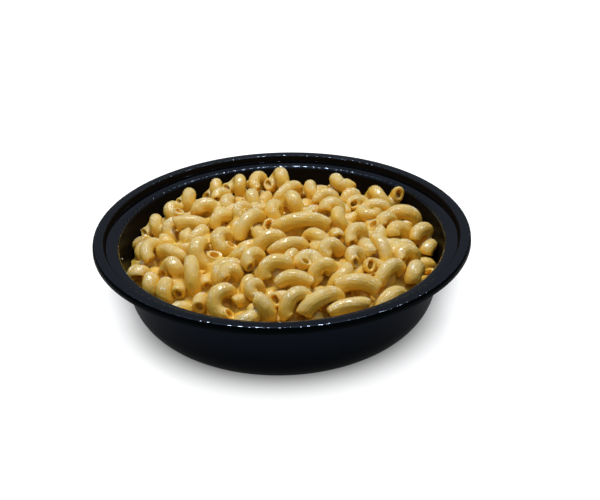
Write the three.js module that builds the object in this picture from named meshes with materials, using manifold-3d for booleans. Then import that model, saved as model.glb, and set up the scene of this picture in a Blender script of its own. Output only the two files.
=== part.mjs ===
// A nine-inch round take-out bowl, heaped with cavatappi in cheese sauce.
// Millimetres, +Z up. The origin is the middle of the bowl's foot, on the surface it stands on.
// The bowl is one thin moulded sheet: a dished base on a flat foot ring, a wide corner, a drafted
// wall, a lid seat, a step, a flat flange and a short turned-down skirt. The pasta is one loose
// heap that fills the bowl to a low crown, with curled tubes lying all over its top.
import * as THREE from "three";
import { mergeVertices } from "three/addons/utils/BufferGeometryUtils.js";
import Module from "manifold-3d";

// Bowl
const rimRadius = 115.7;
const bowlHeight = 55.5;
const sheet = 1.0; // thickness of the moulded wall
const footInner = 54; // where the flat foot ring begins
const baseDish = 1.2; // how far the middle of the base stands off the table
const cornerRadius = 24; // between the base and the wall
const wallDraft = THREE.MathUtils.degToRad(9.8); // lean of the wall from upright
const wallTopRadius = 100.4;
const seatDrop = 5.7; // lid seat below the top of the flange
const seatSlope = 0.9; // the seat falls this much towards its inner edge
const stepRadius = 108.2;
const stepLean = 0.8; // the step's face leans out by this much
const skirtDrop = 3.2;
const skirtFlare = 0.3;
const softEdge = 1.3; // fillet at the folds of the rim and base

// Pasta heap
const clearance = 0.3; // gap between the heap and the bowl
const heapEdgeHeight = 39; // top of the heap where it meets the wall
const heapCrown = 18; // rise from there to the middle
const tubeRadius = 4.5;
const curlRadius = 5; // centre line of one curl, seen from above
const curlTurn = 1.3 * Math.PI;
const curlFlank = 7.5; // a curl has sunk into the sauce this far from its centre line
const curlLift = 1.2; // how far curls lie above or below the dome
const curlCount = 96;
const curlField = 93; // curls are scattered within this radius
const sauceLevel = -1.6; // top of the sauce between curls, from the smooth dome
const reliefStep = 5.4; // grid spacing of the relief

const turns = 60; // facets round the bowl and the heap
const goldenAngle = Math.PI * (3 - Math.sqrt(5));

const wasm = await Module();
wasm.setup();

// Follows corners of { r, z, fillet, steps } and returns points of the filleted line,
// each with the unit normal to the left of travel, which is the food side.
function filletedPath(corners) {
  const path = [];
  const at = (c) => new THREE.Vector2(c.r, c.z);
  const heading = (a, b) => at(b).sub(at(a)).normalize();
  const left = (d) => new THREE.Vector2(-d.y, d.x);
  corners.forEach((corner, i) => {
    const before = corners[i - 1];
    const after = corners[i + 1];
    if (!before || !after) {
      const along = before ? heading(before, corner) : heading(corner, after);
      path.push({ point: at(corner), normal: left(along) });
      return;
    }
    const into = heading(before, corner);
    const out = heading(corner, after);
    const bend = Math.atan2(into.cross(out), into.dot(out));
    const side = Math.sign(bend);
    const reach = corner.fillet * Math.tan(Math.abs(bend) / 2);
    const centre = at(corner)
      .addScaledVector(into, -reach)
      .addScaledVector(left(into), side * corner.fillet);
    for (let k = 0; k <= corner.steps; k++) {
      const turned = into.clone().rotateAround(new THREE.Vector2(), (bend * k) / corner.steps);
      const normal = left(turned);
      path.push({ point: centre.clone().addScaledVector(normal, -side * corner.fillet), normal });
    }
  });
  return path;
}

const offset = (path, distance) => path.map((p) => p.point.clone().addScaledVector(p.normal, distance));

// The sheet's middle line. The lower corners run from the axis to the foot of the wall,
// and the upper ones from the top of the wall to the edge of the skirt.
const floor = sheet / 2;
const seat = bowlHeight - seatDrop;
const rim = bowlHeight - sheet / 2;
const wallAt = (z) => wallTopRadius - Math.tan(wallDraft) * (seat - z);
const lowerCorners = [
  { r: 0, z: floor + baseDish },
  { r: footInner - baseDish, z: floor + baseDish, fillet: softEdge, steps: 1 },
  { r: footInner, z: floor, fillet: softEdge, steps: 1 },
  { r: wallAt(floor), z: floor, fillet: cornerRadius, steps: 6 },
];
const upperCorners = [
  { r: wallTopRadius, z: seat, fillet: softEdge, steps: 2 },
  { r: stepRadius, z: seat + seatSlope, fillet: softEdge, steps: 2 },
  { r: stepRadius + stepLean, z: rim, fillet: softEdge, steps: 2 },
  { r: rimRadius - sheet / 2 - skirtFlare, z: rim, fillet: softEdge, steps: 2 },
  { r: rimRadius - sheet / 2, z: rim - skirtDrop },
];

// Turns a closed outline of (radius, height) points about the vertical axis.
function turned(outline) {
  return new THREE.LatheGeometry(outline, turns).rotateX(Math.PI / 2);
}

function makeBowl() {
  const line = filletedPath([...lowerCorners, ...upperCorners]);
  const outline = [...offset(line, -sheet / 2), ...offset(line, sheet / 2).reverse()];
  const material = new THREE.MeshStandardMaterial({ color: 0x14161b, roughness: 0.3, metalness: 0 });
  const mesh = new THREE.Mesh(turned(outline), material);
  mesh.name = "bowl";
  return mesh;
}

function solidFrom(geometry) {
  const bare = geometry.index ? geometry.toNonIndexed() : geometry.clone();
  bare.deleteAttribute("normal");
  bare.deleteAttribute("uv");
  const merged = mergeVertices(bare, 1e-3);
  return new wasm.Manifold(
    new wasm.Mesh({
      numProp: 3,
      vertProperties: merged.attributes.position.array,
      triVerts: new Uint32Array(merged.index.array),
    }),
  );
}

function geometryFrom(solid) {
  const { vertProperties, triVerts } = solid.getMesh();
  return new THREE.BufferGeometry()
    .setAttribute("position", new THREE.BufferAttribute(vertProperties, 3))
    .setIndex(new THREE.BufferAttribute(triVerts, 1));
}

// Curls lie on a sunflower spiral, each turned its own way.
function scatterCurls() {
  return Array.from({ length: curlCount }, (_, i) => {
    const reach = curlField * Math.sqrt((i + 0.5) / curlCount);
    const centre = new THREE.Vector2(reach, 0).rotateAround(new THREE.Vector2(), i * goldenAngle);
    const start = i * 2.1 * goldenAngle;
    const ends = [start, start + curlTurn].map((angle) =>
      new THREE.Vector2(curlRadius, 0).rotateAround(new THREE.Vector2(), angle).add(centre),
    );
    return { centre, start, ends, lift: curlLift * Math.sin(i * 1.7) };
  });
}

// Distance in plan from a point to a curl's centre line.
function missOf(curl, point) {
  const away = point.clone().sub(curl.centre);
  const angle = THREE.MathUtils.euclideanModulo(away.angle() - curl.start, 2 * Math.PI);
  if (angle < curlTurn) return Math.abs(away.length() - curlRadius);
  return Math.min(...curl.ends.map((end) => end.distanceTo(point)));
}

// Height of the heap's top over a point: the dome, and the back of any curl that passes.
function heapTop(point, curls) {
  const wall = wallTopRadius - sheet;
  const dome = heapEdgeHeight + heapCrown * (1 - point.lengthSq() / wall ** 2);
  const backs = curls.map((curl) => {
    const miss = Math.min(missOf(curl, point) / curlFlank, 1);
    return (curl.lift + tubeRadius - sauceLevel) * Math.cos((miss * Math.PI) / 2) ** 2;
  });
  return dome + sauceLevel + Math.max(...backs);
}

// A square block that reaches below the bowl and ends in the heap's relief.
function reliefBlock(curls) {
  const cells = Math.ceil((2 * rimRadius) / reliefStep);
  const side = cells * reliefStep;
  const block = new THREE.BoxGeometry(side, side, 2 * bowlHeight, cells, cells, 1);
  const place = block.attributes.position;
  for (let i = 0; i < place.count; i++) {
    const point = new THREE.Vector2(place.getX(i), place.getY(i));
    if (place.getZ(i) > 0) place.setZ(i, heapTop(point, curls));
  }
  return block;
}

function makeHeap() {
  const above = 2 * bowlHeight;
  const inside = filletedPath([...lowerCorners, { r: wallAt(above), z: above }]);
  const outline = offset(inside, sheet / 2 + clearance);
  const bowlful = solidFrom(turned([...outline, new THREE.Vector2(0, outline.at(-1).y)]));
  const heap = bowlful.intersect(solidFrom(reliefBlock(scatterCurls())));
  const material = new THREE.MeshStandardMaterial({ color: 0xdcb264, roughness: 0.35, metalness: 0 });
  const mesh = new THREE.Mesh(geometryFrom(heap), material);
  mesh.name = "pasta_heap";
  return mesh;
}

const bowlOfPasta = new THREE.Group();
bowlOfPasta.add(makeBowl(), makeHeap());

export default bowlOfPasta;
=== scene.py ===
# A round black take-out bowl heaped with cavatappi in cheese sauce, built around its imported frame.
# Everything is worked out in millimetres and made in metres.
import bpy
import math
import numpy as np
from mathutils import Matrix, Vector


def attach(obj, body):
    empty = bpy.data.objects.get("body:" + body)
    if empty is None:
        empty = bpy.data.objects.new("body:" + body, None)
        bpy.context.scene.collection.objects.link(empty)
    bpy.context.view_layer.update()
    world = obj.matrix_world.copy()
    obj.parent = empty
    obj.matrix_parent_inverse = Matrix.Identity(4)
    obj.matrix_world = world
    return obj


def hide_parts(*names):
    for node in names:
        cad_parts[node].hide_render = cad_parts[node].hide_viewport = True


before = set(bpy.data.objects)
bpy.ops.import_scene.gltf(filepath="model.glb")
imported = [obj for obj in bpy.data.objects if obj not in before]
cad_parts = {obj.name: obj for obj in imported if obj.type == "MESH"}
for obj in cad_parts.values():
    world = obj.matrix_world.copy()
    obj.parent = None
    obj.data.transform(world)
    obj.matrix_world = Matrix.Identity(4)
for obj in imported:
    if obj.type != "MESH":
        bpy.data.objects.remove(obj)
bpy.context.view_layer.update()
mm = 0.001


class Signal:                                   # one socket, used in plain Python expressions
    def __init__(self, graph, socket):
        self.graph = graph
        self.socket = socket

    def math(self, operation, *others):
        inputs = dict(enumerate((self,) + others))
        return self.graph.node("ShaderNodeMath", {"operation": operation}, inputs)

    def __add__(self, other):
        return self.math("ADD", other)

    def __sub__(self, other):
        return self.math("SUBTRACT", other)

    def __rsub__(self, other):
        return self.graph.node("ShaderNodeMath", {"operation": "SUBTRACT"}, {0: other, 1: self})

    def __mul__(self, other):
        return self.math("MULTIPLY", other)

    __radd__ = __add__
    __rmul__ = __mul__

    def between(self, low, high):               # 0 at low, 1 at high, eased at both ends
        return self.graph.node("ShaderNodeMapRange", {"interpolation_type": "SMOOTHSTEP"},
                               {"Value": self, "From Min": low, "From Max": high})


class Graph:                                    # the nodes of a material or of the world
    def __init__(self, owner):
        owner.use_nodes = True
        self.tree = owner.node_tree

    def node(self, kind, settings=None, inputs=None, output=0):
        node = self.tree.nodes.new(kind)
        for name, value in (settings or {}).items():
            if name == "stops":
                self.setStops(node.color_ramp, value)
            else:
                setattr(node, name, value)
        for name, value in (inputs or {}).items():
            self.feed(node.inputs[name], value)
        return Signal(self, node.outputs[output])

    def setStops(self, ramp, stops):            # an eased ramp of greys
        ramp.interpolation = "EASE"
        while len(ramp.elements) < len(stops):
            ramp.elements.new(0.5)
        for element, (place, level) in zip(ramp.elements, stops):
            element.position = place
            element.color = (level, level, level, 1)

    def feed(self, socket, value):
        if isinstance(value, Signal):
            self.tree.links.new(value.socket, socket)
        else:
            socket.default_value = value


class Finish(Graph):                            # one material; its constants sit on the shader's sockets
    def __init__(self, name, constants):
        self.material = bpy.data.materials.new(name)
        super().__init__(self.material)
        self.shader = self.tree.nodes["Principled BSDF"]
        for socket, value in constants.items():
            self.set(socket, value)

    def set(self, name, value):                 # one socket of the surface shader
        self.feed(self.shader.inputs[name], value)

    def attribute(self, name):                  # a value that the mesh carries at each point
        return self.node("ShaderNodeAttribute", {"attribute_name": name}, output="Fac")

    def place(self):                            # where on the object, in millimetres
        here = self.node("ShaderNodeTexCoord", output="Object")
        return self.node("ShaderNodeVectorMath", {"operation": "SCALE"}, {0: here, "Scale": 1 / mm})

    def along(self, axis, place):               # one coordinate of a place
        return self.node("ShaderNodeSeparateXYZ", {}, {0: place}, output=axis)

    def noise(self, vector, grain, detail):     # grain is in millimetres
        inputs = {"Vector": vector, "Scale": 1 / grain, "Detail": detail}
        return self.node("ShaderNodeTexNoise", {}, inputs)

    def mix(self, first, second, factor):       # colours, which are inputs 6 and 7 of a Mix node
        settings = {"data_type": "RGBA", "clamp_factor": True}
        return self.node("ShaderNodeMix", settings, {0: factor, 6: first, 7: second}, output=2)

    def bump(self, height, depth, strength, normal=None):           # depth is in millimetres
        inputs = {"Height": height, "Distance": depth * mm, "Strength": strength}
        if normal is not None:
            inputs["Normal"] = normal
        return self.node("ShaderNodeBump", {}, inputs)


def makeObject(name, points, faces, finish, attributes=None):
    mesh = bpy.data.meshes.new(name)
    mesh.from_pydata((np.asarray(points) * mm).tolist(), [], [list(face) for face in faces])
    mesh.polygons.foreach_set("use_smooth", np.ones(len(mesh.polygons), bool))
    for label, values in (attributes or {}).items():
        layer = mesh.attributes.new(label, "FLOAT", "POINT")
        layer.data.foreach_set("value", np.asarray(values, np.float32))
    mesh.materials.append(finish.material)
    mesh.validate()
    thing = bpy.data.objects.new(name, mesh)
    bpy.context.scene.collection.objects.link(thing)
    return thing


def gridFaces(rows, columns, closedRows=False):                     # quads of rings joined row to row
    i = np.arange(rows if closedRows else rows - 1)[:, None]
    j = np.arange(columns)[None, :]
    down = (i + 1) % rows
    right = (j + 1) % columns
    corners = [i * columns + j, i * columns + right, down * columns + right, down * columns + j]
    return np.stack([np.broadcast_to(c, (len(i), columns)) for c in corners], -1).reshape(-1, 4)


bowl = {
    "rimRadius": 115.7, "height": 55.5, "sheet": 1.0,
    "footInner": 54.0, "baseDish": 1.2, "cornerRadius": 24.0,
    "wallDraft": math.radians(9.8), "wallTopRadius": 100.4,
    "seatDrop": 5.6, "crownRadius": 104.6, "crownRise": 0.85, "seatRise": 0.95,
    "stepRadius": 108.2, "stepLean": 0.8,
    "skirtDrop": 3.2, "skirtFlare": 0.3,
    "softEdge": 1.3, "softSeat": 2.2, "softCrown": 5.0, "softFoot": 0.7, "softStep": 1.3,
    "turns": 420,
    "scallops": 126, "scallopDepth": 0.30,      # fine waves along the folds of the rim, in its finish
    "waveSlope": 29, "seatSpan": 18, "crestSpan": 30,               # where a fold leans so many degrees
    # each finish is its black, roughness, gloss and depth of ripple
    "rim": ((0.0010, 0.0014, 0.0022, 1), 0.05, 0.7, 0.04),
    "satin": ((0.0010, 0.0015, 0.0018, 1), 0.42, 0.006, 0.05),      # the outside
    # the food side is painted warm brown: a painted reflection of the pasta on the black plastic
    "inside": ((0.0080, 0.0058, 0.0038, 1), 0.30, 0.012, 0.10),
    "groove": ((0.0080, 0.0058, 0.0038, 1), 0.30, 0.0, 0.10),       # the step beside the lid seat, painted dull and dark with the same painted reflection: painted shade
    "glint": (0.58, 0.74, 1.0, 1),
    "paintedSheenBlack": (0.0050, 0.0068, 0.0110, 1),   # the wall outside is painted paler towards the rim: a painted sheen
    "sheenSpan": (8.0, 49.0), "sheenEnd": (50.5, 51.5),
    "edgeRows": 4,                              # rows of the rim's rounded edge that are still outside
    "foldRows": 3, "foldReach": 1.2,            # the fold from the wall to the lid seat
    "stepShadeFront": 0.92, "stepShadeBack": 0.75,        # the step gets the painted shade where it faces up less than this
}


def seatHeight():
    return bowl["height"] - bowl["seatDrop"]


def wallMiddle(height):                         # radius of the wall's middle line at a height
    return bowl["wallTopRadius"] - math.tan(bowl["wallDraft"]) * (seatHeight() - height)


def filletedPath(corners):                      # points of the line, and normals on the food side
    points, normals = [], []
    for i, (radius, height, fillet, steps) in enumerate(corners):
        corner = np.array([radius, height])
        into = corner - np.array(corners[i - 1][:2]) if i else None
        out = np.array(corners[i + 1][:2]) - corner if i + 1 < len(corners) else None
        if into is None or out is None:
            along = out if into is None else into
            along = along / np.linalg.norm(along)
            points.append(corner)
            normals.append(np.array([-along[1], along[0]]))
            continue
        into, out = into / np.linalg.norm(into), out / np.linalg.norm(out)
        bend = math.atan2(into[0] * out[1] - into[1] * out[0], into @ out)
        side = math.copysign(1, bend)
        start = corner - into * fillet * math.tan(abs(bend) / 2)
        centre = start + side * fillet * np.array([-into[1], into[0]])
        for turn in np.linspace(0, bend, steps + 1):
            c, s = math.cos(turn), math.sin(turn)
            heading = np.array([c * into[0] - s * into[1], s * into[0] + c * into[1]])
            normal = np.array([-heading[1], heading[0]])
            points.append(centre - side * fillet * normal)
            normals.append(normal)
    return np.array(points), np.array(normals)


def bowlLine():                                 # the sheet's middle line, from the axis to the skirt
    floor = bowl["sheet"] / 2
    seat = seatHeight()
    rim = bowl["height"] - bowl["sheet"] / 2
    soft = bowl["softEdge"]
    edge = bowl["rimRadius"] - bowl["sheet"] / 2
    dish = bowl["baseDish"]
    return filletedPath([                       # radius, height, fillet and its number of steps
        (0, floor + dish, 0, 0),
        (bowl["footInner"] - dish, floor + dish, soft, 4),
        (bowl["footInner"], floor, soft, 4),
        (wallMiddle(floor), floor, bowl["cornerRadius"], 11),
        (bowl["wallTopRadius"], seat, bowl["softSeat"], 8),
        (bowl["crownRadius"], seat + bowl["crownRise"], bowl["softCrown"], 3),
        (bowl["stepRadius"], seat + bowl["seatRise"], bowl["softFoot"], 5),
        (bowl["stepRadius"] + bowl["stepLean"], rim, bowl["softStep"], 8),
        (edge - bowl["skirtFlare"], rim, soft, 6),
        (edge, rim - bowl["skirtDrop"], 0, 0),
    ])


def foldOf(profile, normals):                   # 1 where the rim folds over, and 0 where it is flat
    slope = np.degrees(np.arccos(np.clip(normals[:, 1], -1, 1)))
    high = profile[:, 1] > bowl["height"] - 2 * bowl["seatDrop"]
    span = np.where(profile[:, 0] > bowl["stepRadius"] + 2, bowl["crestSpan"], bowl["seatSpan"])
    return high * np.clip(1.6 * (1 - abs(slope - bowl["waveSlope"]) / span), 0, 1)


def turned(profile, turns, lowHub, highHub):    # from hub to hub, about the upright axis
    angle = np.arange(turns) * 2 * math.pi / turns
    ring = np.stack([np.cos(angle), np.sin(angle)], -1)
    rows = [np.column_stack([ring * radius, np.full(turns, height)]) for radius, height in profile]
    points = np.concatenate(rows + [[[0, 0, lowHub]], [[0, 0, highHub]]])
    faces = [list(f) for f in gridFaces(len(profile), turns)]
    low, high = len(points) - 2, len(points) - 1
    last = (len(profile) - 1) * turns
    for j in range(turns):
        k = (j + 1) % turns
        faces.append([low, k, j])
        faces.append([high, last + j, last + k])
    return points, faces


def bowlFinish(name, high=False, scalloped=False):
    black, roughness, gloss, ripple = bowl[name]
    plastic = Finish("black_plastic_" + name, {
        "IOR": 1.49, "Specular IOR Level": gloss, "Base Color": black, "Specular Tint": bowl["glint"]})
    place = plastic.place()
    if high:                                    # the wall's colour is painted paler towards the rim: painted light
        level = plastic.along("Z", place)
        shine = level.between(*bowl["sheenSpan"]) - level.between(*bowl["sheenEnd"])
        plastic.set("Base Color", plastic.mix(black, bowl["paintedSheenBlack"], shine))
    plastic.set("Roughness", roughness + 0.06 * (plastic.noise(place, 9.0, 3.0) - 0.5))
    small = plastic.bump(plastic.noise(place, 0.35, 2.0), 0.01, 0.3)
    normal = plastic.bump(plastic.noise(place, 5.0, 2.0), ripple, 0.5, small)
    if scalloped:
        turn = plastic.along("Y", place).math("ARCTAN2", plastic.along("X", place))
        around = turn * (bowl["scallops"] / 2) + 2.5 * plastic.noise(place, 12.0, 1.0)
        strength = plastic.attribute("fold") * plastic.noise(place, 8.0, 1.0).between(0.3, 0.6)
        wave = around.math("SINE").math("ABSOLUTE") * strength
        normal = plastic.bump(wave, bowl["scallopDepth"], 1.0, normal)
    plastic.set("Normal", normal)
    return plastic


def makeBowl():
    points, across = bowlLine()
    under = points - across * bowl["sheet"] / 2
    inside = points + across * bowl["sheet"] / 2
    profile = np.concatenate([under[1:], inside[:0:-1]])
    normals = np.concatenate([-across[1:], across[:0:-1]])
    shell = turned(profile, bowl["turns"], under[0, 1], inside[0, 1])
    fold = np.append(np.repeat(foldOf(profile, normals), bowl["turns"]), [0, 0])
    thing = makeObject("bowl_shell", *shell, bowlFinish("rim", scalloped=True), {"fold": fold})
    for finish in (bowlFinish("satin", high=True), bowlFinish("inside"), bowlFinish("groove")):
        thing.data.materials.append(finish.material)
    wallTop = [bowl["wallTopRadius"] - 0.5, seatHeight() + 0.3]
    atFold = np.hypot(*(profile[len(under):] - wallTop).T) < bowl["foldReach"]
    outside = len(under) + bowl["edgeRows"]
    within = len(under) + np.argmax(atFold) + bowl["foldRows"]
    step = (abs(profile[:, 0] - bowl["stepRadius"]) < 2) & (normals[:, 1] > 0)
    for face in thing.data.polygons:
        row = min(face.vertices) // bowl["turns"]
        # the step's painted shade reaches further at the front than at the back
        stepShade = bowl["stepShadeFront"] if face.center.y < 0 else bowl["stepShadeBack"]
        if row < outside:
            face.material_index = 1
        elif row > within:
            face.material_index = 2
        elif step[row] and normals[row, 1] < stepShade:
            face.material_index = 3
    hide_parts("bowl")
    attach(thing, "root")
    print("bowl:", len(thing.data.polygons), "faces")


heap = {
    "edgeHeight": 39.0, "crown": 18.0,          # the dome that the curls fill, and its rise
    "depth": 22.0, "lowest": 14.0,              # how far the loose curls reach below the dome
    "gap": 0.4,                                 # between a curl and the bowl
    "sinkShadeDepth": 14,                            # the painted shade between curls is deepest this far below the dome
}

settling = {
    "steps": 420, "weight": 0.30, "carry": 0.5, "push": 0.9,
    "thinStart": 0.45, "growth": 1.4,           # curls start thin and grow to their full girth
    "weightEnd": 0.8,                           # the weight fades out by this part of the steps
    "roofPush": 0.3,                            # how firmly a loose curl is kept under the dome
    "heldGive": 0.2, "heldPull": 0.12,          # how freely a placed curl moves, and goes back
    "softSteps": 60, "give": 2.0,               # how far a soft curl may bend
    "softPush": 1.2, "softWall": 0.5,
}

pasta = {
    "seed": 12, "loose": 112, "spots": 20,
    "tubeRadius": (4.1, 4.7), "boreShare": 0.45,
    "curlRadius": (4.2, 5.5), "pitch": (12.5, 17.0), "turns": (1.25, 1.95),
    "spread": 88, "startDrop": 8, "startDepth": 12,                 # where loose curls start
}

# Curls placed one by one where they show most. Each row is the middle in plan and its lift over the
# dome, then the heading, tilt and roll of the curl's axis, then its turns, radius and pitch.
placed = [
    # front left
    (-85, -26, -5, 300, 15, -160, 1.3, 3.4, 12),
    (-66, -47, -6, 335, -5, 0, 2.2, 4.6, 10.5),
    (-51, -43, -4, 0, 0, 50, 0.6, 9, 12),
    (-49, -20, -5, 305, 0, 0, 1.6, 4.6, 15),
    (-62, -30, -6, 350, 0, 20, 1.2, 4, 14),
    (-67, -16, -3, 220, 0, 0, 0.25, 14, 8),
    (-80, -4, -5, 300, 24, -176, 1.7, 5, 13),
    # front centre
    (-31, -43, -6, 270, 22, -84, 1.3, 3.9, 13),
    (-34, -65, -4, 290, 0, 63, 0.9, 5.5, 18),
    (7, -71, -4, 268, 0, 14, 0.7, 6, 18),
    (-2, -46, -3, 255, 8, -10, 0.75, 6.2, 16),
    (-6, -21, -3, 255, 5, 12, 0.6, 5, 18),
    (-47, -61, -6, 275, 5, 0, 0.7, 1.5, 22),
    (3, -22, -5, 270, 5, 0, 0.28, 14, 8),
    (-36, -15, -4, 285, 15, 60, 1, 4.6, 15),
    (-18, -36, -5, 270, 20, -60, 1.2, 3.9, 13),
    (-12, -74, -4, 20, 0, 45, 0.42, 6, 10),
    (-18, -58, -6, 290, 22, -120, 1.5, 3.9, 12),
    (7, -56, -4, 270, 10, 0, 0.25, 14, 8),
    (22, -47, -4, 270, 20, 20, 0.7, 6, 12),
    (22, -70, -4, 305, 0, 0, 0.35, 14, 8),
    # right front
    (35, -74, -4, 270, 0, 0, 0.22, 16, 8),
    (42, -58, -3, 262, 5, 0, 0.24, 16, 8),
    (62, -42, -4, 315, 5, 0, 0.38, 12, 8),
    (76, -35, -4, 315, 5, 0, 0.5, 7, 8),
    (59, -62, -4, 310, 0, 0, 0.4, 10, 9),
    (43, -30, -5, 270, 24, -64, 1.3, 3.4, 12),
    (58, -22, -3, 15, 0, 40, 0.36, 10, 10),
    (73, -19, -5, 270, 22, -80, 1.25, 3.8, 12),
    (29, -25, -5, 270, 22, 0, 0.9, 4.4, 12),
    (44, -10, -5, 270, 22, -60, 1.2, 4.9, 13),
    (72, 4, -5, 270, 20, -60, 1, 4.4, 12),
    (93, 1, -5, 290, 10, 0, 0.5, 6, 9),
    (85, 7, -2, 268, 8, -118, 1.1, 5.6, 17),
    # back left
    (-69, 50, -2, 275, 22, 36, 1.3, 3.5, 12),
    (-49, 43, -4, 270, 22, -110, 1.2, 4.9, 13),
    (-41, 56, -3, 270, 22, -110, 1.2, 4.3, 13),
    (-60, 58, 0, 335, 0, 0, 1.2, 4.2, 13),
    (-38, 19, -4, 262, 5, 12, 0.6, 5, 18),
    (-25, 23, -4, 270, 24, 28, 1.4, 4.2, 12),
    (-18, 5, -3, 325, 0, 0, 0.45, 12, 8),
    (-35, 41, -4, 335, 0, 0, 1.1, 4.2, 13),
    (-57, 16, -3, 270, 10, 0, 0.2, 16, 8),
    (-68, 19, -4, 270, 22, 95, 0.8, 4, 12),
    (-79, 28, -4, 335, 5, 0, 1.2, 4.4, 13),
    # back
    (12, -2, -1, 270, 5, 0, 0.25, 22, 8),
    (1, 71, 3, 335, 0, 0, 1.3, 4.8, 14),
    (-43, 76, 1, 335, 0, 0, 1.2, 4.4, 13),
    (-29, 70, 2, 335, 0, 0, 1.2, 4.4, 13),
    (-17, 41, -4, 335, 0, 20, 1.1, 4.4, 13),
    (9, 31, -4, 345, 0, 20, 1.1, 4.8, 13),
    (5, 60, -2, 320, 0, 0, 0.4, 11, 8),
    (19, 62, -3, 335, 0, 0, 1.1, 4.2, 13),
    (31, 43, -3, 270, 22, -110, 1.2, 4.8, 13),
    (32, 26, -4, 270, 22, -110, 1.2, 4.6, 13),
    (47, 57, -3, 270, 24, -90, 1.3, 3.6, 12),
    (40, 67, 1, 335, 0, 0, 1.2, 4, 13),
    (67, 55, 1, 340, 5, 90, 1.5, 4, 16),
    (80, 30, 0, 270, 5, 0, 0.45, 9, 10),
    (58, 38, -2, 262, 0, 0, 0.42, 10, 9),
    (35, 11, -4, 335, 0, 20, 1.1, 4.6, 13),
    (-6, 20, -4, 300, 0, 0, 0.9, 5, 13),
    (-12, 74, 1, 270, 20, -60, 1.2, 4, 13),
    (64, 17, -4, 270, 24, -100, 1.2, 3.6, 12),
]


def innerWall(height):                          # radius of the bowl's inner face
    return wallMiddle(np.asarray(height)) - bowl["sheet"] / 2


def domeHeight(x, y):
    reach = innerWall(heap["edgeHeight"])
    return heap["edgeHeight"] + heap["crown"] * (1 - (x * x + y * y) / reach ** 2)


def domeNormal(x, y):
    slope = 2 * heap["crown"] / innerWall(heap["edgeHeight"]) ** 2
    normal = np.stack([slope * x, slope * y, np.ones_like(x)], -1)
    return normal / np.linalg.norm(normal, axis=-1, keepdims=True)


def helix(radius, pitch, turns, count):         # a curl's middle line about its own centre
    part = np.linspace(-0.5, 0.5, count)
    angle = 2 * math.pi * turns * part
    line = np.stack([radius * np.cos(angle), radius * np.sin(angle), pitch * turns * part], -1)
    return line - line.mean(0)


def turnsOf(quats):                             # rotation matrices of unit quaternions
    w, x, y, z = quats.T
    return np.stack([
        np.stack([1 - 2 * (y * y + z * z), 2 * (x * y - w * z), 2 * (x * z + w * y)], -1),
        np.stack([2 * (x * y + w * z), 1 - 2 * (x * x + z * z), 2 * (y * z - w * x)], -1),
        np.stack([2 * (x * z - w * y), 2 * (y * z + w * x), 1 - 2 * (x * x + y * y)], -1),
    ], -2)


def spun(quats, spin):                          # quaternions turned by a small rotation vector
    w, x, y, z = quats.T
    a, b, c = spin.T / 2
    step = np.stack([-a * x - b * y - c * z, a * w + b * z - c * y,
                     b * w + c * x - a * z, c * w + a * y - b * x], -1)
    moved = quats + step
    return moved / np.linalg.norm(moved, axis=1, keepdims=True)


def facing(heading, tilt, roll):                # a curl's turn from its axis, in degrees
    heading, tilt, roll = [math.radians(v) for v in (heading, tilt, roll)]
    level = np.array([math.cos(heading), math.sin(heading), 0])
    upright = np.array([0, 0, 1])
    axis = level * math.cos(tilt) + upright * math.sin(tilt)
    up = upright * math.cos(tilt) - level * math.sin(tilt)
    crest = math.cos(roll) * up + math.sin(roll) * np.cross(axis, up)
    axes = np.stack([crest, np.cross(axis, crest), axis], -1)
    return np.array(Matrix(axes.tolist()).to_quaternion())


def strewn(rng, count):                         # layered starting places, evenly spread
    golden = math.pi * (3 - math.sqrt(5))
    order = rng.permutation(count)
    reach = pasta["spread"] * np.sqrt((order + 0.5) / count)
    x, y = reach * np.cos(order * golden), reach * np.sin(order * golden)
    level = domeHeight(x, y) - pasta["startDrop"] - rng.uniform(0, pasta["startDepth"], count)
    quats = rng.normal(size=(count, 4))
    return np.stack([x, y, level], -1), quats / np.linalg.norm(quats, axis=1, keepdims=True)


def layCurls(rng):                              # every curl's shape and where it starts
    count, spots = pasta["loose"], pasta["spots"]
    sizes = [rng.uniform(*pasta[name], count) for name in ("curlRadius", "pitch", "turns")]
    local = [helix(radius, pitch, turns, spots) for *_, turns, radius, pitch in placed]
    local += [helix(radius, pitch, turns, spots) for radius, pitch, turns in zip(*sizes)]
    centres, quats = strewn(rng, count)
    middles = [(x, y, domeHeight(x, y) + lift) for x, y, lift, *_ in placed]
    turns = [facing(heading, tilt, roll) for _, _, _, heading, tilt, roll, *_ in placed]
    return {
        "local": np.array(local),
        "tube": rng.uniform(*pasta["tubeRadius"], len(local)),
        "centres": np.concatenate([middles, centres]),
        "quats": np.concatenate([turns, quats]),
        "held": np.arange(len(local)) < len(placed),
    }


def pairsNear(centres, reach):
    gap = np.linalg.norm(centres[:, None] - centres[None], axis=-1)
    near = np.triu(gap < reach[:, None] + reach[None], 1)
    return np.argwhere(near)


def touches(spots, tube, pairs):                # where curls overlap: who, which spots, how far
    first, second = pairs.T
    away = spots[first][:, :, None] - spots[second][:, None]
    distance = np.sqrt((away * away).sum(-1))
    overlap = (tube[first] + tube[second])[:, None, None] - distance
    pair, i, j = np.nonzero(overlap > 0)
    depth = overlap[pair, i, j]
    push = away[pair, i, j] * (depth / np.maximum(distance[pair, i, j], 1e-6))[:, None]
    return first[pair], i, second[pair], j, push


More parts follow.
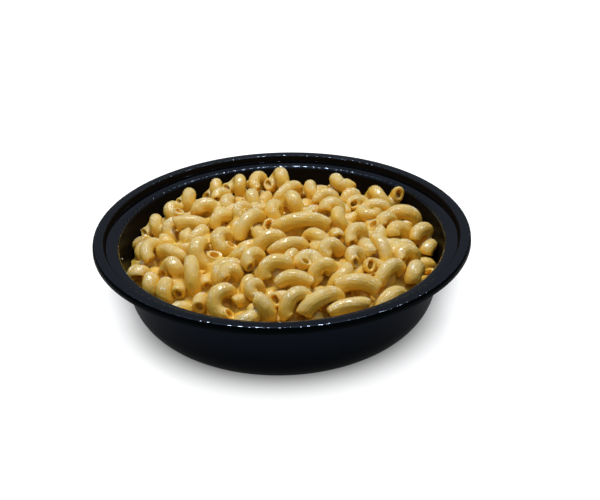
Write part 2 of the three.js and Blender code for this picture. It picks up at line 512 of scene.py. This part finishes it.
def walledIn(spots, tube, held):                # pushes that keep spots in the bowl and on the core
    x, y, z = spots[..., 0], spots[..., 1], spots[..., 2]
    push = np.zeros_like(spots)
    core = np.maximum(domeHeight(x, y) - heap["depth"], heap["lowest"]) + tube[:, None]
    push[..., 2] += np.maximum(core - z, 0)
    radius = np.hypot(x, y)
    over = np.maximum(radius - (innerWall(z) - heap["gap"] - tube[:, None]), 0)
    push[..., 0] -= over * x / np.maximum(radius, 1)
    push[..., 1] -= over * y / np.maximum(radius, 1)
    roof = domeHeight(x, y) - tube[:, None]
    push[..., 2] -= settling["roofPush"] * np.maximum(z - roof, 0) * ~held[:, None]
    return push


def summed(who, values, count):                 # the sum of each curl's rows
    return np.stack([np.bincount(who, values[:, n], count) for n in range(3)], -1)


def settle(curls):                              # rigid curls sink onto the core and push each other off
    centres, quats, local = curls["centres"], curls["quats"], curls["local"]
    tube, held = curls["tube"], curls["held"]
    count = len(tube)
    home, homeTurn = centres[held], quats[held]
    freedom = np.where(held, settling["heldGive"], 1.0)
    size = np.linalg.norm(local, axis=-1).max(1) + tube
    gyration = (local ** 2).sum(-1).mean(1)
    steps = settling["steps"]
    slide, roll = np.zeros((count, 3)), np.zeros((count, 3))
    for step in range(steps):
        part = step / steps
        girth = tube * min(1, settling["thinStart"] + settling["growth"] * part)
        weight = settling["weight"] * max(0, 1 - part / settling["weightEnd"]) ** 1.5
        if step % 5 == 0:
            pairs = pairsNear(centres, size)
        world = np.einsum("nij,nkj->nki", turnsOf(quats), local) + centres[:, None]
        a, i, b, j, push = touches(world, girth, pairs)
        rest = walledIn(world, girth, held)
        c, k = np.nonzero((rest ** 2).sum(-1) > 1e-9)
        who = np.concatenate([a, b, c])
        lever = np.concatenate([world[a, i], world[b, j], world[c, k]]) - centres[who]
        give = (freedom[a] / (freedom[a] + freedom[b]))[:, None]
        push = np.concatenate([push * give, -push * (1 - give), rest[c, k]])
        turn = np.cross(lever, push)
        depth = np.maximum(np.sqrt((push ** 2).sum(1)), 1e-6)
        share = depth / (1 + (turn ** 2).sum(1) / depth ** 2 / gyration[who])
        total = np.maximum(np.bincount(who, depth, count), 1e-6)[:, None]
        shift = summed(who, push * share[:, None], count) / total
        spin = summed(who, turn * (share / gyration[who])[:, None], count) / total
        slide = settling["carry"] * slide + settling["push"] * shift
        slide -= weight * domeNormal(centres[:, 0], centres[:, 1]) * ~held[:, None]
        roll = settling["carry"] * roll + settling["push"] * spin
        centres = centres + slide
        centres[held] += settling["heldPull"] * (home - centres[held])
        quats = spun(quats, roll)
        quats[held] += settling["heldPull"] * (homeTurn - quats[held])
        centres = np.round(centres, 6)
        quats = np.round(quats / np.linalg.norm(quats, axis=1, keepdims=True), 9)
    world = np.einsum("nij,nkj->nki", turnsOf(quats), local) + centres[:, None]
    reportTouches("settled", touches(world, tube, pairs)[4])
    moved = np.linalg.norm(centres[held] - home, axis=1)
    print("placed curls moved %.1f mm at most, %.1f mm on average" % (moved.max(), moved.mean()))
    return world


def reportTouches(stage, push):
    depth = np.linalg.norm(push, axis=1)
    print("%s: deepest overlap %.2f mm, mean %.2f mm over %d touches" % (
        stage, depth.max(), depth.mean(), len(depth)))


def relax(lines, tube, held):                   # soft curls give a little where they still press
    rest = lines.copy()
    middle = lines.mean(1)
    reach = np.linalg.norm(lines - middle[:, None], axis=-1).max(1) + tube + settling["give"]
    pairs = pairsNear(middle, reach)
    for step in range(settling["softSteps"]):
        a, i, b, j, push = touches(lines, tube, pairs)
        depth = np.linalg.norm(push, axis=1)
        move = np.zeros_like(lines)
        total = np.full(lines.shape[:2], 1e-6)
        np.add.at(move, (a, i), push * depth[:, None] / 2)
        np.add.at(move, (b, j), -push * depth[:, None] / 2)
        np.add.at(total, (a, i), depth)
        np.add.at(total, (b, j), depth)
        wall = walledIn(lines, tube, held) * settling["softWall"]
        bend = lines + move / total[..., None] * settling["softPush"] + wall - rest
        padded = np.concatenate([bend[:, :1], bend, bend[:, -1:]], 1)
        bend = 0.25 * padded[:, :-2] + 0.5 * bend + 0.25 * padded[:, 2:]
        length = np.linalg.norm(bend, axis=-1, keepdims=True)
        bend *= np.minimum(1, settling["give"] / np.maximum(length, 1e-9))
        lines = np.round(rest + bend, 6)
    reportTouches("relaxed", touches(lines, tube, pairs)[4])
    return lines


tube = {
    "around": 45, "ridges": 15, "ridgeHeight": 0.12, "step": 1.5,
    "ridgeTwist": 0.03,                         # radians for each millimetre of length
    "lump": 0.035, "oval": 0.035,               # unevenness, as a share of the radius
    "lip": 1.15, "pinch": 0.07, "squash": 0.13, "softEnd": 2.5,     # a cooked end draws in and goes oval
    "boreOval": 1.6, "boreLip": 0.9, "boreStep": 4,
    "deepAround": 18, "deepStep": 2.4,          # for curls that lie under the others
    "buried": 14, "barelySeen": 11,             # how far below the dome a curl is hidden, or nearly so
    "budget": 190000,                           # triangles in one object
}


def spline(points, spacing):                    # Catmull-Rom, evenly spaced along its length
    ends = [2 * points[0] - points[1], 2 * points[-1] - points[-2]]
    p = np.concatenate([ends[:1], points, ends[1:]])
    t = np.linspace(0, len(points) - 1, 8 * len(points))
    k = np.minimum(t.astype(int), len(points) - 2)
    f = (t - k)[:, None]
    a, b, c, d = p[k], p[k + 1], p[k + 2], p[k + 3]
    square = 2 * a - 5 * b + 4 * c - d
    cube = 3 * b - a - 3 * c + d
    fine = 0.5 * (2 * b + (c - a) * f + square * f ** 2 + cube * f ** 3)
    run = np.concatenate([[0], np.cumsum(np.linalg.norm(np.diff(fine, axis=0), axis=1))])
    even = np.linspace(0, run[-1], max(int(run[-1] / spacing), 8))
    return np.stack([np.interp(even, run, fine[:, n]) for n in range(3)], -1)


def carried(line):                              # headings, and sideways directions that don't twist
    heading = np.gradient(line, axis=0)
    heading /= np.linalg.norm(heading, axis=1, keepdims=True)
    side = np.cross(heading[0], [0.3, 0.5, 0.8])                    # any slanting direction will do
    sides = []
    for h in heading:
        side = side - (side @ h) * h
        side = side / np.linalg.norm(side)
        sides.append(side)
    sides = np.array(sides)
    return heading, sides, np.cross(heading, sides)


def tubeMesh(line, radius, deep, rng):          # a ridged hollow tube with rounded lips
    around = tube["deepAround"] if deep else tube["around"]
    path = spline(line, tube["deepStep"] if deep else tube["step"])
    rings = len(path)
    heading, side, up = carried(path)
    along = np.arange(rings)[:, None] * np.linalg.norm(path[1] - path[0])
    length = along[-1, 0]
    angle = np.arange(around)[None] * 2 * math.pi / around
    spoke = angle + along * tube["ridgeTwist"]
    nearEnd = np.exp(-np.minimum(along, length - along) / tube["softEnd"])
    ridge = np.zeros((1, around)) if deep else np.cos(angle * tube["ridges"]) + 0 * along
    lumps = tube["lump"] * np.sin(along / length * rng.uniform(4, 9) + rng.uniform(0, 6) + spoke)
    oval = (tube["oval"] + tube["squash"] * nearEnd) * np.cos(2 * (spoke - rng.uniform(0, 6)))
    outer = radius * (1 + lumps + oval - tube["pinch"] * nearEnd) + tube["ridgeHeight"] * ridge
    bore = radius * pasta["boreShare"] * (1 + tube["boreOval"] * oval)
    lip, boreLip, boreStep = tube["lip"], tube["boreLip"], tube["boreStep"]
    rows, grooves = [], []

    def ringAt(index, reach, advance=0.0, groove=0.0):
        centre = path[index] + heading[index] * advance
        turn = spoke[index][:, None]
        spokes = np.cos(turn) * side[index] + np.sin(turn) * up[index]
        rows.append(centre + spokes * reach[:, None])
        grooves.append(np.full(around, groove) * ridge[index % len(ridge)])

    curve = np.linspace(0, math.pi / 2, 3 if deep else 5)[:-1]
    late = curve + 0.2                          # a lip's inner edge starts a little past its crest
    for c in curve:                             # the first lip's outer edge, then the outside
        ringAt(0, outer[0] - lip * (1 - math.sin(c)), lip * (1 - math.cos(c)), math.sin(c))
    for index in range(1, rings - 1):
        ringAt(index, outer[index], 0, 1.0)
    for c in curve[::-1]:
        ringAt(rings - 1, outer[-1] - lip * (1 - math.sin(c)), -lip * (1 - math.cos(c)), math.sin(c))
    for c in late[::-1]:                        # over the last lip, and back through the bore
        ringAt(rings - 1, bore[-1] + lip * (1 - math.cos(c)) * boreLip, -lip * (1 - math.sin(c)))
    for index in range(rings - boreStep, boreStep - 1, -boreStep):
        ringAt(index, bore[index])
    for c in late:
        ringAt(0, bore[0] + lip * (1 - math.cos(c)) * boreLip, lip * (1 - math.sin(c)))
    return np.concatenate(rows), gridFaces(len(rows), around, closedRows=True), np.concatenate(grooves)


def filmAndSheenOf(points, faces):                      # sauce settles where the surface faces up, and a painted sheen is laid there too
    corners = points[faces]
    across = np.cross(corners[:, 2] - corners[:, 0], corners[:, 3] - corners[:, 1])
    total = np.zeros_like(points)
    for n in range(4):
        for axis in range(3):
            total[:, axis] += np.bincount(faces[:, n], across[:, axis], len(points))
    length = np.maximum(np.linalg.norm(total, axis=1), 1e-9)
    return np.clip(total[:, 2] / length, 0, 1)


def sinkShadeOf(points):                             # 0 on the dome and above, 1 deep between curls, where painted shade and thicker sauce are laid
    return np.clip((domeHeight(points[:, 0], points[:, 1]) - points[:, 2]) / heap["sinkShadeDepth"], 0, 1)


cheese = {
    "base": (0.86, 0.54, 0.07, 1), "warm": (0.80, 0.48, 0.03, 1), "paintedGlint": (0.95, 0.90, 0.74, 1),
    "scatter": 2.8, "scatterColours": (1.0, 0.75, 0.3),
    # each finish is its gloss, the pale colour on upward faces (sauce on top and a painted sheen), and
    # the colour deep between curls (painted shade and thicker sauce)
    "gloss": (0.40, (0.64, 0.49, 0.21, 1), (0.82, 0.51, 0.09, 1)),
    "sauce": (0.35, (0.72, 0.53, 0.20, 1), (0.66, 0.42, 0.08, 1)),
}


def pastaFinish(name):
    gloss, sheenPale, deep = cheese[name]
    skin = Finish("cheese_pasta_" + name, {
        "IOR": 1.45, "Specular IOR Level": gloss, "Subsurface Weight": 0.5,
        "Subsurface Scale": cheese["scatter"] * mm, "Subsurface Radius": cheese["scatterColours"]})
    place = skin.place()
    sink = skin.attribute("sink")
    film = skin.attribute("film") * (1 - sink)
    blotch = skin.noise(place, 6.0, 3.0)
    speck = skin.noise(place, 1.9, 1.0)
    cover = film + 0.5 * (blotch - 0.5) + 0.5 * (speck - 0.5) - 0.05 * skin.attribute("ridge")
    # upward faces are painted pale: sauce lying on top, and a painted sheen
    base = skin.mix(cheese["base"], sheenPale, cover.between(0.15, 1.05))
    # deep between curls the colour is painted darker: painted shade, and thicker sauce
    base = skin.mix(base, deep, 0.9 * sink.between(0.25, 0.9))
    base = skin.mix(base, cheese["warm"], 0.2 * skin.attribute("tint"))
    # pale specks on the upward faces: painted glints
    patch = skin.noise(place, 5.0, 1.0).between(0.48, 0.60)
    paintedGlints = skin.noise(place, 0.75, 0.0).between(0.58, 0.66) * patch * film.between(0.45, 0.8)
    skin.set("Base Color", skin.mix(base, cheese["paintedGlint"], paintedGlints))
    skin.set("Roughness", 0.15 + 0.10 * (skin.noise(place, 3.0, 3.0) - 0.5))
    fine = skin.bump(skin.noise(place, 2.4, 0.0), 0.35, 0.8)
    skin.set("Normal", skin.bump(skin.noise(place, 4.5, 1.0), 0.8, 0.5, fine))
    return skin


def covered(lines, tubes):                      # which curls lie so deep that little of them shows
    spots = lines[:, ::2]
    owner = np.repeat(np.arange(len(spots)), spots.shape[1])
    flat = spots.reshape(-1, 3)
    girth = tubes[owner]
    aside = np.linalg.norm(flat[:, None, :2] - flat[None, :, :2], axis=-1)
    above = flat[None, :, 2] - flat[:, None, 2] > girth[:, None]
    under = ((aside < girth[None]) & above & (owner[:, None] != owner[None])).any(1)
    top = flat[:, 2] + girth - domeHeight(flat[:, 0], flat[:, 1])
    under |= top < -tube["buried"]
    shown = np.bincount(owner, (~under) & (top > -tube["barelySeen"]), len(spots))
    return shown < 1


def heapPiece(thing):
    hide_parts("pasta_heap")
    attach(thing, "root")


def makePasta(lines, tubes, rng, finish):
    deep = covered(lines, tubes)
    groups, size, total = [[]], 0, 0
    for line, radius, hidden in sorted(zip(lines, tubes, deep), key=lambda curl: curl[2]):
        points, faces, ridge = tubeMesh(line, radius, hidden, rng)
        if size + 2 * len(faces) > tube["budget"]:
            groups.append([])
            size = 0
        groups[-1].append((points, faces, np.full(len(points), rng.uniform(0, 1)), ridge))
        size += 2 * len(faces)
        total += 2 * len(faces)
    for number, group in enumerate(groups):
        start = np.cumsum([0] + [len(p[0]) for p in group[:-1]])
        faces = np.concatenate([p[1] + s for p, s in zip(group, start)])
        points, tint, ridge = [np.concatenate([p[n] for p in group]) for n in (0, 2, 3)]
        labels = {"sink": sinkShadeOf(points), "tint": tint, "film": filmAndSheenOf(points, faces), "ridge": ridge}
        heapPiece(makeObject("pasta_curls_%d" % number, points, faces, finish, labels))
    print("pasta: %d curls, %d of them deep, %d triangles" % (len(lines), deep.sum(), total))


sauce = {
    "cell": 1.2,                                # grid spacing of its surface
    "bottom": 21.0, "headroom": 8.0,            # from this height to so far above the dome's top
    "pathStep": 2.0,                            # spacing of the points of a curl's line
    "skin": 0.4,                                # it lies this far under a bare curl's surface
    "melt": 1.4,                                # how widely it fills in between curls that touch
    "recess": 7.0,                              # a curl's line is cut about this short at its open ends
    "level": 10.5, "swell": 2.0,                # top of the pool below the dome, and its unevenness
    "wallGap": 0.1,
}


def sauceField(lines, tubes):                   # distance-like field: below 0 is sauce
    cell, melt = sauce["cell"], sauce["melt"]
    reach = innerWall(bowl["height"]) + 1
    x = np.arange(-reach, reach + cell, cell)
    z = np.arange(sauce["bottom"], heap["edgeHeight"] + heap["crown"] + sauce["headroom"], cell)
    total = np.zeros((len(x), len(x), len(z)), np.float32)
    margin = 5 * melt

    def boxOf(low, high):                       # the part of the grid between two corners
        sides = zip((x, x, z), low, high)
        return [slice(*np.searchsorted(axis, (start, end))) for axis, start, end in sides]

    for line, radius in zip(lines, tubes):
        path = spline(line, sauce["pathStep"])
        inset = min(int(round(sauce["recess"] / sauce["pathStep"])), (len(path) - 2) // 2)
        path = path[inset:len(path) - inset]
        girth = radius - sauce["skin"]
        span = girth + margin
        whole = boxOf(path.min(0) - span, path.max(0) + span)
        near = np.full([w.stop - w.start for w in whole], 99.0, np.float32)
        for a, b in zip(path[:-1], path[1:]):
            box = boxOf(np.minimum(a, b) - span, np.maximum(a, b) + span)
            part = tuple(slice(s.start - w.start, s.stop - w.start) for s, w in zip(box, whole))
            gx = x[box[0], None, None] - a[0]
            gy = x[None, box[1], None] - a[1]
            gz = z[None, None, box[2]] - a[2]
            d = b - a
            t = np.clip((gx * d[0] + gy * d[1] + gz * d[2]) / (d @ d), 0, 1)
            away = (gx - t * d[0]) ** 2 + (gy - t * d[1]) ** 2 + (gz - t * d[2]) ** 2
            near[part] = np.minimum(near[part], np.sqrt(away) - girth)
        total[tuple(whole)] += np.exp(-near / melt) * (near < margin)
    gx, gy = x[:, None], x[None, :]             # the pool's top swells slowly, without a pattern
    wave = np.sin(gx / 9.1 + 1.3 * np.sin(gy / 13.0)) * np.sin(gy / 7.7 + 0.9 * np.sin(gx / 11.0))
    level = domeHeight(gx, gy) - sauce["level"] + sauce["swell"] * wave
    pool = np.clip(z[None, None] - level[..., None], -20, 20)
    total += np.exp(-pool / melt)
    field = -melt * np.log(np.maximum(total, 1e-12))
    wall = np.hypot(gx, gy)[..., None] - (innerWall(z) - sauce["wallGap"])[None, None]
    return x, z, np.maximum(field, wall)


def endOf(grid, axis, start):                   # the grid without its last, or its first, layer
    cut = [slice(None)] * 3
    cut[axis] = slice(start, grid.shape[axis] - 1 + start)
    return grid[tuple(cut)]


def surfaceNet(field):                          # one point in each cell that the surface crosses
    inside = field < 0
    shape = np.array(field.shape) - 1
    corners = [np.array([i, j, k]) for i in (0, 1) for j in (0, 1) for k in (0, 1)]
    filled = 0
    for c in corners:
        filled = filled + inside[tuple(slice(c[n], c[n] + shape[n]) for n in range(3))].astype(np.int8)
    cells = np.argwhere((filled > 0) & (filled < 8))
    number = np.full(shape, -1, np.int32)
    number[tuple(cells.T)] = np.arange(len(cells))
    points = np.zeros((len(cells), 3))
    hits = np.zeros(len(cells))
    for c in corners:
        for axis in range(3):
            if c[axis]:
                continue
            far = c.copy()
            far[axis] = 1
            a = field[tuple((cells + c).T)]
            b = field[tuple((cells + far).T)]
            cross = (a < 0) != (b < 0)
            share = np.where(cross, a / np.where(cross, a - b, 1), 0)
            spot = np.repeat(c[None].astype(float), len(cells), 0)
            spot[:, axis] += share
            points += spot * cross[:, None]
            hits += cross
    points = points / hits[:, None] + cells
    faces = []
    for axis in range(3):
        u, v = [n for n in range(3) if n != axis]
        step = np.eye(3, dtype=int)
        here = np.argwhere(endOf(inside, axis, 0) != endOf(inside, axis, 1))
        here = here[(here[:, u] > 0) & (here[:, v] > 0)]
        here = here[(here[:, u] < shape[u]) & (here[:, v] < shape[v])]
        ring = [here - step[u] - step[v], here - step[v], here, here - step[u]]
        quad = np.stack([number[tuple(r.T)] for r in ring], -1)
        outward = inside[tuple(here.T)]
        if axis == 1:
            outward = ~outward
        quad[~outward] = quad[~outward][:, ::-1]
        faces.append(quad)
    return points, np.concatenate(faces)


def makeSauce(lines, tubes, finish):
    x, z, field = sauceField(lines, tubes)
    points, faces = surfaceNet(field)
    points = points * sauce["cell"] + np.array([x[0], x[0], z[0]])
    labels = {"sink": sinkShadeOf(points), "tint": np.full(len(points), 0.5), "film": filmAndSheenOf(points, faces)}
    heapPiece(makeObject("cheese_sauce", points, faces, finish, labels))
    print("sauce:", 2 * len(faces), "triangles")


core = {
    "gap": 0.15, "wallTo": 22.0,                # it lines the bowl from the base up to this height
    "below": 16,                                # its top under the dome
    "rings": 40, "turns": 120,
}


def makeCore(finish):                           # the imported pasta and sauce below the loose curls
    points, normals = bowlLine()
    lining = points + normals * (bowl["sheet"] / 2 + core["gap"])
    low = [p for p in lining if p[1] < core["wallTo"]]
    top = []
    for radius in np.linspace(innerWall(core["wallTo"]) - 0.2, 0, core["rings"])[:-1]:
        top.append([radius, float(domeHeight(radius, 0.0)) - core["below"]])
    hub = float(domeHeight(0.0, 0.0)) - core["below"]
    points, faces = turned(np.array(low[1:] + top), core["turns"], low[0][1], hub)
    labels = {"sink": sinkShadeOf(points), "tint": np.full(len(points), 0.5)}
    heapPiece(makeObject("sauce_core", points, faces, finish, labels))
    print("core:", len(faces), "faces")


drops = {                                       # splashes that cling to the wall above the pasta
    "places": [(160.0, 38.0, 0.6), (159.5, 34.5, 0.5), (161.5, 33.5, 0.6), (188.5, 43.5, 0.8)],
    # each is an angle about the bowl in degrees, a height and a radius
    # the drops are painted pale grey: a painted highlight of their wet glints
    "glintPale": (0.44, 0.40, 0.32, 1), "glintWarm": (0.41, 0.40, 0.37, 1),
    "rings": 6, "turns": 12,
}


def makeDrops():
    wet = Finish("cheese_pasta_drop", {"IOR": 1.45})
    place = wet.place()
    glintMix = wet.noise(place, 0.6, 1.0).between(0.35, 0.65)
    wet.set("Base Color", wet.mix(drops["glintPale"], drops["glintWarm"], glintMix))
    wet.set("Roughness", 0.07 + 0.06 * wet.noise(place, 0.9, 1.0))
    points, faces = [], []
    bend = np.linspace(0, math.pi, drops["rings"] + 2)[1:-1]
    for angle, height, radius in drops["places"]:
        profile = np.column_stack([np.sin(bend), -np.cos(bend)]) * radius
        ball, sides = turned(profile, drops["turns"], -radius, radius)
        reach = innerWall(height)
        turn = math.radians(angle)
        start = sum(len(p) for p in points)
        points.append(ball + [reach * math.cos(turn), reach * math.sin(turn), height])
        faces += [[corner + start for corner in side] for side in sides]
    heapPiece(makeObject("sauce_drops", np.concatenate(points), faces, wet))
    print("drops:", len(drops["places"]))


view = {
    "imageWidth": 600, "imageHeight": 500, "sensor": 36.0,
    "focal": 1018.8,                            # in pixels of that image
    "axisPixel": (281.2, 225.6),                # where the middle of the rim falls
    "distance": 628.65, "aimHeight": 55.5,
    "elevation": math.radians(27.38), "roll": math.radians(-1.81),
}


def makeCamera():
    data = bpy.data.cameras.new("camera")
    data.sensor_width = view["sensor"]
    data.lens = view["focal"] / view["imageWidth"] * view["sensor"]
    data.shift_x = (view["imageWidth"] / 2 - view["axisPixel"][0]) / view["imageWidth"]
    data.shift_y = (view["axisPixel"][1] - view["imageHeight"] / 2) / view["imageWidth"]
    data.clip_end = 20
    camera = bpy.data.objects.new("camera", data)
    reach, rise = view["distance"], view["elevation"]
    target = Vector((0, 0, view["aimHeight"])) * mm
    away = Vector((0, -math.cos(rise), math.sin(rise))) * reach * mm
    tilt = Matrix.Rotation(math.pi / 2 - rise, 4, "X") @ Matrix.Rotation(view["roll"], 4, "Z")
    camera.matrix_world = Matrix.Translation(target + away) @ tilt
    bpy.context.scene.collection.objects.link(camera)
    bpy.context.scene.camera = camera
    print("camera: %.0f mm from the bowl" % reach)


studio = {
    "floor": (0.40, 0.40, 0.40, 1), "floorReach": 3000.0,
    "floorGlow": 0.97, "shadowCentre": (0, 9, 0), "shadowSpan": (77, 116),
    "shadeBack": 18, "shadeSpan": (-20, 60),    # the painted shadow reaches further behind the bowl
    "sky": (0.86, 0.94, 1.06, 1),
    "skyStops": [(0.0, 0.10), (0.25, 0.16), (0.74, 0.20), (0.90, 0.95)],    # height of view, strength
    "lamps": [((-20, 150, 950), 130, 5.0),      # place, size and power
              ((-420, -80, 900), 80, 0.8),
              ((380, 260, 950), 80, 0.8)],
}


def makeFloor():
    paper = Finish("floor_white", {
        "Base Color": studio["floor"], "Roughness": 0.9, "Specular IOR Level": 0.0,
        "Emission Strength": studio["floorGlow"]})
    place = paper.place()
    # the floor's glow fades out around the bowl: a painted soft shadow
    reach = paper.node("ShaderNodeVectorMath", {"operation": "DISTANCE"},
                       {0: place, 1: studio["shadowCentre"]}, output="Value")
    back = paper.along("Y", place).between(*studio["shadeSpan"])
    unshadowed = (reach - studio["shadeBack"] * back).between(*studio["shadowSpan"])
    paper.set("Emission Color", paper.mix((0, 0, 0, 1), (1, 1, 1, 1), unshadowed))
    side = studio["floorReach"]
    points = [(-side, -side, 0), (side, -side, 0), (side, side, 0), (-side, side, 0)]
    makeObject("floor", points, [(0, 1, 2, 3)], paper)


def softLight(name, place, size, power):
    data = bpy.data.lights.new(name, "AREA")
    data.shape = "SQUARE"
    data.size = size * mm
    data.energy = power
    lamp = bpy.data.objects.new(name, data)
    lamp.location = Vector(place) * mm
    aim = Vector((0, 0, bowl["height"])) * mm - lamp.location
    lamp.rotation_euler = aim.to_track_quat("-Z", "Y").to_euler()
    bpy.context.scene.collection.objects.link(lamp)


def makeLight():
    world = bpy.data.worlds.new("studio")
    graph = Graph(world)
    sky = graph.tree.nodes["Background"]
    graph.feed(sky.inputs["Color"], studio["sky"])
    direction = graph.node("ShaderNodeTexCoord", output="Generated")
    height = graph.node("ShaderNodeSeparateXYZ", {}, {0: direction}, output="Z")
    strength = graph.node("ShaderNodeValToRGB", {"stops": studio["skyStops"]}, {"Fac": height})
    graph.feed(sky.inputs["Strength"], strength)
    bpy.context.scene.world = world
    bpy.context.scene.view_settings.view_transform = "Standard"
    for number, (place, size, power) in enumerate(studio["lamps"]):
        softLight("lamp_%d" % number, place, size, power)
    print("light:", len(studio["lamps"]), "lamps and the sky")


makeCamera()
makeFloor()
makeLight()
makeBowl()
rng = np.random.default_rng(pasta["seed"])
curls = layCurls(rng)
lines = relax(settle(curls), curls["tube"], curls["held"])
glossy = pastaFinish("gloss")
gravy = pastaFinish("sauce")
makePasta(lines, curls["tube"], rng, glossy)
makeSauce(lines, curls["tube"], gravy)
makeCore(gravy)
makeDrops()
